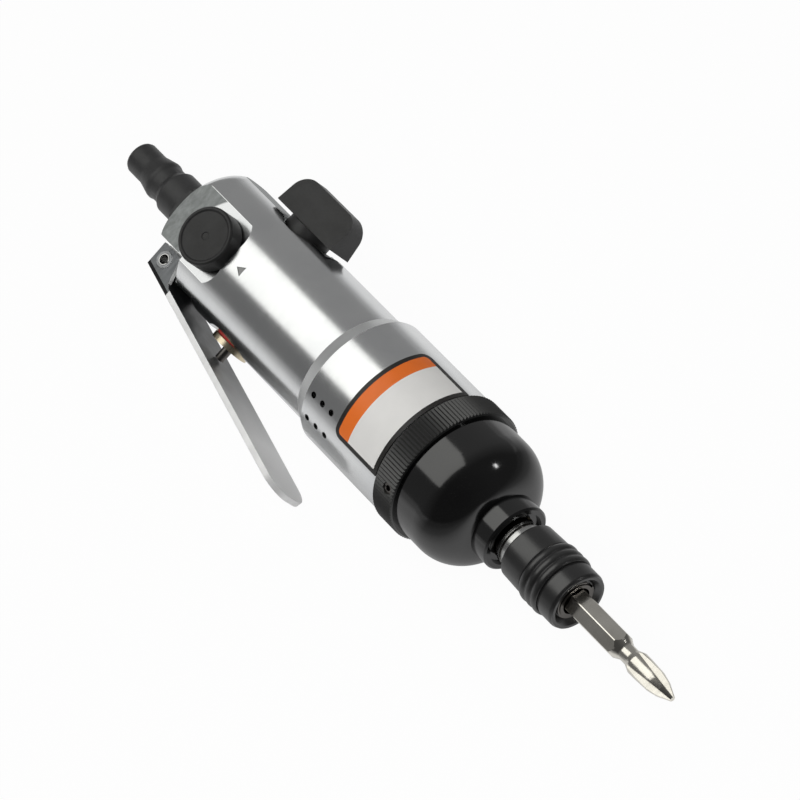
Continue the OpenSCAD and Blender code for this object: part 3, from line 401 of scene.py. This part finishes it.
finishes = {
    "handle": handleMetal("satinAluminium", handleFinish),
    "sheetFace": leverSheet("rolledSheet", sheetFinish),
    "sheetEdge": turnedMetal("sheetEdge", (0.93, 0.93, 0.93), (0.84, 0.84, 0.84), 0.42, 0.06, 0.5),
    "sheetEar": turnedMetal("dullSheet", (0.24, 0.25, 0.26), (0.15, 0.155, 0.16), 0.46, 0.1),
    # painted shade in the bend under the ear
    "sheetBendShade": turnedMetal("paintedBendShade", (0.035, 0.036, 0.037), (0.02, 0.02, 0.021), 0.5, 0.06),
    "sheetBoss": turnedMetal("pressedBoss", (0.42, 0.43, 0.44), (0.3, 0.31, 0.32), 0.45, 0.06),
    "case": caseBlack("glossBlackSteel", caseFinish),
    "plug": blackSteel("satinBlackSteel", (0.026, 0.026, 0.0265), 0.42, 0.45),
    "sleeve": blackSteel("oiledBlackSteel", (0.0075, 0.0075, 0.0075), 0.3, 0.12, 1.0),
    "knob": mouldedPlastic("blackPlastic", (0.012, 0.012, 0.012), 0.42),
    "steel": turnedMetal("groundSteel", (0.66, 0.66, 0.65), (0.54, 0.54, 0.53), 0.24, 0.1),
    "darkSteel": turnedMetal("hardenedSteel", (0.17, 0.16, 0.15), (0.10, 0.095, 0.09), 0.32, 0.1),
    "bit": turnedMetal("bitSteel", (0.92, 0.89, 0.82), (0.70, 0.67, 0.60), 0.18, 0.06),
    "brass": turnedMetal("turnedBrass", (0.84, 0.74, 0.55), (0.72, 0.61, 0.42), 0.28, 0.1),
    "redRubber": mouldedPlastic("redRubber", (0.45, 0.05, 0.04), 0.42, 1.1),
    "rubber": mouldedPlastic("blackRubber", (0.012, 0.012, 0.012), 0.6),
    "resin": mouldedPlastic("vaneResin", (0.22, 0.12, 0.06), 0.5, 1.2),
    "labelWhite": mouldedPlastic("labelFilm", (0.83, 0.82, 0.80), 0.4, 1.03),
    "labelBand": mouldedPlastic("labelBand", (0.84, 0.17, 0.015), 0.4, 1.05),
    "labelBorder": mouldedPlastic("labelBorder", (0.012, 0.011, 0.01), 0.4),
}
finishOf = {  # every other piece is ground steel
    "body": "handle", "lever": "sheetFace", "hammer_case": "case", "case_screw": "darkSteel",
    "air_plug": "plug", "plug_washer": "rubber", "inlet_screen": "brass", "valve_bush": "brass",
    "valve_o_ring": "redRubber", "pin_o_ring": "rubber", "throttle_pin": "darkSteel",
    "reverse_knob": "knob", "reverse_valve": "darkSteel", "reverse_o_ring": "rubber",
    "regulator_knob": "knob", "regulator_valve": "darkSteel", "regulator_o_ring": "rubber",
    "vanes": "resin", "hammer_dogs": "darkSteel", "anvil": "darkSteel", "anvil_bush": "brass",
    "sleeve": "sleeve", "sleeve_clip": "darkSteel", "bit": "bit", "label": "labelWhite",
}


def finishName(node):
    return finishOf.get(node, "steel")


for name, thing in nodes.items():
    thing.data.materials.clear()
    thing.data.materials.append(finishes[finishName(name)])
print("materials are on", len(nodes), "nodes")

easing = {
    "sharpest": 28,  # degrees between two faces from which an edge counts as hard
    "weld": 0.000002,  # metres between points that are one point
    "flatWithin": 0.3,  # degrees between faces that are one face
}


def mergedCopy(name):
    shape = bmesh.new()
    shape.from_mesh(nodes[name].data)
    bmesh.ops.remove_doubles(shape, verts=shape.verts, dist=easing["weld"])
    bmesh.ops.dissolve_limit(shape, angle_limit=math.radians(easing["flatWithin"]),
                             verts=shape.verts, edges=shape.edges)
    return shape


def roundOver(shape, sharpest, width, rounds):
    limit = math.radians(sharpest)
    hard = [e for e in shape.edges if e.is_manifold and e.calc_face_angle() > limit]
    bmesh.ops.bevel(shape, geom=hard, offset=width / 1000, segments=rounds, profile=0.5,
                    affect="EDGES", clamp_overlap=True, material=-1)


def finishCopy(shape, name, body, coats):
    # the reworked copy takes the CAD node's place and rides on its body
    piece = newObject(name + "Eased", shape)
    mesh = piece.data
    mesh.shade_smooth()
    mesh.set_sharp_from_angle(angle=math.radians(easing["sharpest"]))
    for finish in coats:
        mesh.materials.append(finishes[finish])
    flatter = piece.modifiers.new("flatFaces", "WEIGHTED_NORMAL")
    flatter.keep_sharp = True
    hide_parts(name)
    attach(piece, body)
    return piece


springs = {  # body, joint that presses it, way it is pressed, which end stays, travel in mm
    "throttle_spring": ("base", "throttle_slide", (0, 0, 1), "far", 3.175),
    "sleeve_spring": ("spindle", "sleeve_slide", (1, 0, 0), "near", 3.4),
}


def buildSpring(name, body, joint, way, fixedEnd, travel):
    # a merged copy of the spring takes the CAD node's place
    shape = mergedCopy(name)
    way = wayOf(*way)
    piece = finishCopy(shape, name, body, [finishName(name)])
    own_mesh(piece)


for name, plan in springs.items():
    buildSpring(name, *plan)

easedPieces = {  # width of the rounding in mm, rounds, body it rides on
    "reverse_knob": (0.5, 3, "reverser"),
    "regulator_knob": (0.2, 2, "regulator"),
    "air_plug": (0.2, 2, "base"),
    "sleeve": (0.15, 2, "bit_sleeve"),
    "bit": (0.14, 2, "spindle"),
}
for name, (width, rounds, body) in easedPieces.items():
    shape = mergedCopy(name)
    roundOver(shape, easing["sharpest"], width, rounds)
    piece = finishCopy(shape, name, body, [finishName(name)])
    print("eased", name, len(piece.data.polygons))

leverPinPlan = {  # mm on the upright tool
    "along": 3.6,
    "up": -12.9,
    "wallFrom": 1.1,  # wall points nearer to the axis than this move out to the hole's radius
    "hole": 1.3,
}


def buildLeverPin(plan):
    # the spring pin's rolled wall is thin, as its ends show
    shape = mergedCopy("lever_pin")
    axis = toRow(plan["along"], 0, plan["up"])
    sideWay = wayOf(0, 1, 0)
    for vert in shape.verts:
        away = vert.co - axis
        outward = away - sideWay * away.dot(sideWay)
        if outward.length < plan["wallFrom"] / 1000:
            vert.co += outward.normalized() * (plan["hole"] / 1000 - outward.length)
    piece = finishCopy(shape, "lever_pin", "base", ["steel"])
    print("lever pin has", len(piece.data.polygons), "faces")


buildLeverPin(leverPinPlan)

leverPlan = {
    "earEnd": 11.2,  # mm along the tool, where the ear meets the sheet's long edge
    "earSide": 8.1,  # mm from the middle, between the ear's outer face and the boss on it
    "bend": 1.0,  # mm, height of the band under the ear painted dark as shade
    "bendCheck": 2.0,  # mm behind the ear's end, from where the bend's height is read
    "edge": 0.25,  # mm, width of the rounding
    "edgeRounds": 2,
    "edgeSharpest": 40,  # degrees from which an edge is rounded
    "openAngle": 13.0,  # degrees from the tool to the open lever's sheet
    "facing": 0.9,  # cosine from which a face looks squarely one way
    "slight": 0.12,  # cosine up to which a face doesn't look sideways at all
    "coats": ["sheetFace", "sheetEdge", "sheetEar", "sheetBendShade", "sheetBoss"],
}


def cutAt(shape, faces, place, normal):
    edges = {e for f in faces for e in f.edges}
    verts = {v for f in faces for v in f.verts}
    bmesh.ops.bisect_plane(shape, geom=[*verts, *edges, *faces], plane_co=place,
                           plane_no=normal)


def buildLever(plan):
    shape = mergedCopy("lever")
    sideWay = wayOf(0, 1, 0)
    slope = math.radians(plan["openAngle"])
    sheetOut = wayOf(-math.sin(slope), 0, -math.cos(slope))
    earEnd = plan["earEnd"] / 1000 + layout["noseToHandle"]
    cutAt(shape, shape.faces[:], (earEnd, 0, 0), (1, 0, 0))
    shape.normal_update()
    roundOver(shape, plan["edgeSharpest"], plan["edge"], plan["edgeRounds"])
    ears = [v for v in shape.verts if v.co.x < earEnd - plan["bendCheck"] / 1000]
    bendStart = max(v.co.dot(sheetOut) for v in ears) - plan["bend"] / 1000
    rear = [f for f in shape.faces if f.calc_center_median().x < earEnd]
    cutAt(shape, rear, sheetOut * bendStart, sheetOut)
    shape.normal_update()
    origin = toRow(0, 0, 0)
    for face in shape.faces:
        middle = face.calc_center_median()
        sideward = abs(face.normal.dot(sideWay))
        outward = abs((middle - origin).dot(sideWay)) * 1000
        finish = "sheetEdge"
        # faces in the bend under the ear get painted shade
        inBend = middle.x < earEnd and middle.dot(sheetOut) > bendStart
        if inBend and sideward > plan["slight"]:
            finish = "sheetBendShade"
        elif face.normal.dot(sheetOut) < -plan["facing"]:
            finish = "sheetFace"
        elif sideward > plan["facing"] and middle.x < earEnd:
            finish = "sheetBoss" if outward >= plan["earSide"] else "sheetEar"
        face.material_index = plan["coats"].index(finish)
    piece = finishCopy(shape, "lever", "thumb_lever", plan["coats"])
    print("lever has", len(piece.data.polygons), "faces")


buildLever(leverPlan)

labelPlan = {  # a bare generic label on the collar, in mm
    "rear": 80.9,  # along the tool
    "length": 17.0,
    "radius": 18.85,
    "thick": 0.12,
    "span": 104.0,  # degrees round the collar
    "turn": 13.5,  # degrees from the side to the label's middle
    "corner": 2.4,
    "cornerRounds": 8,
    "border": 1.25,
    "band": 4.0,
    "steps": 52,  # strips round the collar
    "coats": ["labelWhite", "labelBand", "labelBorder"],
}


def buildLabel(plan):
    # drawn flat, cut into strips, then wrapped round the collar; the flat solid's faces
    # point inwards, and wrapping, which mirrors it, turns them outwards
    across = plan["radius"] * math.radians(plan["span"])
    bandEnd = plan["rear"] + plan["border"] + plan["band"]
    shape = bmesh.new()
    bmesh.ops.create_grid(shape, x_segments=1, y_segments=1, size=0.5)
    bmesh.ops.scale(shape, verts=shape.verts, vec=(plan["length"], across, 1))
    bmesh.ops.translate(shape, verts=shape.verts, vec=(plan["rear"] + plan["length"] / 2, 0, 0))
    corners = [v for v in shape.verts if v.co.x < plan["rear"] + 1]
    bmesh.ops.bevel(shape, geom=corners, offset=plan["corner"], offset_type="OFFSET",
                    segments=plan["cornerRounds"], profile=0.5, affect="VERTICES", material=-1)
    rim = bmesh.ops.inset_region(shape, faces=shape.faces[:], thickness=plan["border"],
                                 use_even_offset=True, use_boundary=True)
    for face in rim["faces"]:
        face.material_index = plan["coats"].index("labelBorder")
    cutAt(shape, shape.faces[:], (bandEnd, 0, 0), (1, 0, 0))
    for face in shape.faces:
        if face.material_index == 0 and face.calc_center_median().x < bandEnd:
            face.material_index = plan["coats"].index("labelBand")
    for i in range(1, plan["steps"]):
        cutAt(shape, shape.faces[:], (0, across * (i / plan["steps"] - 0.5), 0), (0, 1, 0))
    bmesh.ops.solidify(shape, geom=shape.faces[:], thickness=-plan["thick"])
    middleTurn = math.radians(180 - plan["turn"])
    for vert in shape.verts:
        around = middleTurn + vert.co.y / plan["radius"]
        out = plan["radius"] + vert.co.z
        vert.co = toRow(vert.co.x, out * math.cos(around), out * math.sin(around))
    label = newObject("collarLabel", shape)
    for finish in plan["coats"]:
        label.data.materials.append(finishes[finish])
    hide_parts("label")
    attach(label, "base")
    print("label has", len(label.data.polygons), "faces")


buildLabel(labelPlan)

studio = {  # lengths in metres
    "middle": (0.12, 0, 0),  # where the lamps aim
    "wallNear": 0.19,  # the room's level on the camera's side
    "wallFar": 0.31,
    "wallFade": (-0.4, 0.4),  # across the sky, from the near level to the far one
    "wallFrontFade": (-0.35, 0.1),  # from the rear to the dimmer front
    "wallPaint": (0.8, 0.8, 0.8),
    "floorHalf": 4.0,
    "floorMiddle": 0.1,
    "floorPaint": (0.86, 0.86, 0.86),
    "floorGlow": 0.96,  # how much of the floor that the camera sees is plain white
    "floorNear": 0.76,  # what a gloss sees of the floor beside the tool
    "floorFar": 0.36,
    "floorFade": (0.07, 0.2),  # to the side, from the near level to the far one
    "shadeReach": 0.03,  # the floor is darker this near to the tool
    "shadeSamples": 8,
    "shadeRear": 0.8,  # what is left of the level close under the tool
    "shadeFront": 0.2,
    "shadeFade": (0.08, 0.11),  # along the tool, from the rear level to the front one
    "frontDim": 0.36,  # the room and the floor are dimmer in front
    "frontFade": (0.08, 0.13),  # along the tool
    "frontSides": (0.02, 0.08),  # to the side, from the full level to the dim one
}
lamps = {  # glow is the brightness of the lamp's face, mirrored whether a gloss shows it
    "softbox": {"toward": (-0.44, -0.2, 0.82), "distance": 1.0, "longSide": (0.12, 0.965, 0.234),
                "size": (0.78, 0.97), "glow": 1.15, "colour": (1.0, 1.0, 0.965)},
    "fillLamp": {"toward": (0.5, -0.3, 0.81), "distance": 1.2, "longSide": (0, 1, 0),
                 "size": (0.7, 0.7), "glow": 5.2, "mirrored": False},
    "sparkLamp": {"toward": (0.454, 0.683, 0.573), "distance": 1.15, "longSide": (0, 1, 0),
                  "size": (0.17, 0.08), "glow": 11.0},
}


def buildLamp(name, plan):
    # its power follows from the glow of its face
    data = bpy.data.lights.new(name, "AREA")
    data.shape = "RECTANGLE"
    data.size, data.size_y = plan["size"]
    data.energy = plan["glow"] * math.pi * data.size * data.size_y
    data.color = plan.get("colour", (1, 1, 1))
    lamp = bpy.data.objects.new(name, data)
    bpy.context.scene.collection.objects.link(lamp)
    lamp.visible_glossy = plan.get("mirrored", True)
    back = Vector(plan["toward"]).normalized()
    long = Vector(plan["longSide"])
    long = (long - back * long.dot(back)).normalized()
    facing = Matrix((long.cross(back), long, back)).transposed().to_4x4()
    place = Vector(studio["middle"]) + back * plan["distance"]
    lamp.matrix_world = Matrix.Translation(place) @ facing


def glossyFloor(tree):
    # what a gloss sees: paler beside the tool, darker under it and in front
    place = addNode(tree, "ShaderNodeTexCoord", {}).outputs["Object"]
    split = addNode(tree, "ShaderNodeSeparateXYZ", {0: place})
    along = split.outputs["X"]
    aside = reckon(tree, "ABSOLUTE", split.outputs["Y"])
    fade = mapped(tree, aside, studio["floorFade"], (studio["floorNear"], studio["floorFar"]))
    shade = addNode(tree, "ShaderNodeAmbientOcclusion", {"Distance": studio["shadeReach"]},
                    samples=studio["shadeSamples"])
    least = mapped(tree, along, studio["shadeFade"], (studio["shadeRear"], studio["shadeFront"]))
    shaded = mixValues(tree, shade.outputs["AO"], least, 1)
    sides = mapped(tree, aside, studio["frontSides"], (1, studio["frontDim"]))
    front = mixValues(tree, mapped(tree, along, studio["frontFade"], (0, 1)), 1, sides)
    level = product(tree, fade, shaded, front)
    return addNode(tree, "ShaderNodeEmission", {"Strength": level}).outputs[0]


def buildFloor():
    # the camera sees it white with a faint shadow
    shape = bmesh.new()
    bmesh.ops.create_grid(shape, x_segments=1, y_segments=1, size=studio["floorHalf"])
    bmesh.ops.translate(shape, verts=shape.verts,
                        vec=(studio["floorMiddle"], 0, layout["floorHeight"]))
    floor = newObject("studioFloor", shape)
    material = bpy.data.materials.new("studioWhite")
    material.use_nodes = True
    tree = material.node_tree
    tree.nodes.clear()
    paint = addNode(tree, "ShaderNodeBsdfDiffuse", {"Color": studio["floorPaint"]}).outputs[0]
    white = addNode(tree, "ShaderNodeEmission", {"Strength": 1.0}).outputs[0]
    plain = mixShaders(tree, studio["floorGlow"], paint, white)
    path = addNode(tree, "ShaderNodeLightPath", {})
    gloss = reckon(tree, "MAXIMUM", path.outputs["Is Glossy Ray"],
                   path.outputs["Is Transmission Ray"])
    mirrored = mixShaders(tree, gloss, paint, glossyFloor(tree))
    shown = mixShaders(tree, path.outputs["Is Camera Ray"], mirrored, plain)
    addNode(tree, "ShaderNodeOutputMaterial", {"Surface": shown})
    floor.data.materials.append(material)


def buildSky():
    # a dim room, a little paler behind the tool; the camera sees it white
    world = bpy.data.worlds.new("studioSky")
    bpy.context.scene.world = world
    world.use_nodes = True
    tree = world.node_tree
    tree.nodes.clear()
    place = addNode(tree, "ShaderNodeTexCoord", {}).outputs["Generated"]
    split = addNode(tree, "ShaderNodeSeparateXYZ", {0: place})
    level = mapped(tree, split.outputs["Y"], studio["wallFade"],
                   (studio["wallNear"], studio["wallFar"]))
    front = mapped(tree, split.outputs["X"], studio["wallFrontFade"], (1, studio["frontDim"]))
    room = addNode(tree, "ShaderNodeBackground",
                   {"Color": studio["wallPaint"], "Strength": product(tree, level, front)})
    white = addNode(tree, "ShaderNodeBackground", {"Color": (1, 1, 1)})
    path = addNode(tree, "ShaderNodeLightPath", {})
    shown = mixShaders(tree, path.outputs["Is Camera Ray"], room.outputs[0], white.outputs[0])
    addNode(tree, "ShaderNodeOutputWorld", {"Surface": shown})


buildFloor()
buildSky()
for name, plan in lamps.items():
    buildLamp(name, plan)
bpy.context.scene.view_settings.view_transform = "Standard"
print("studio is lit")
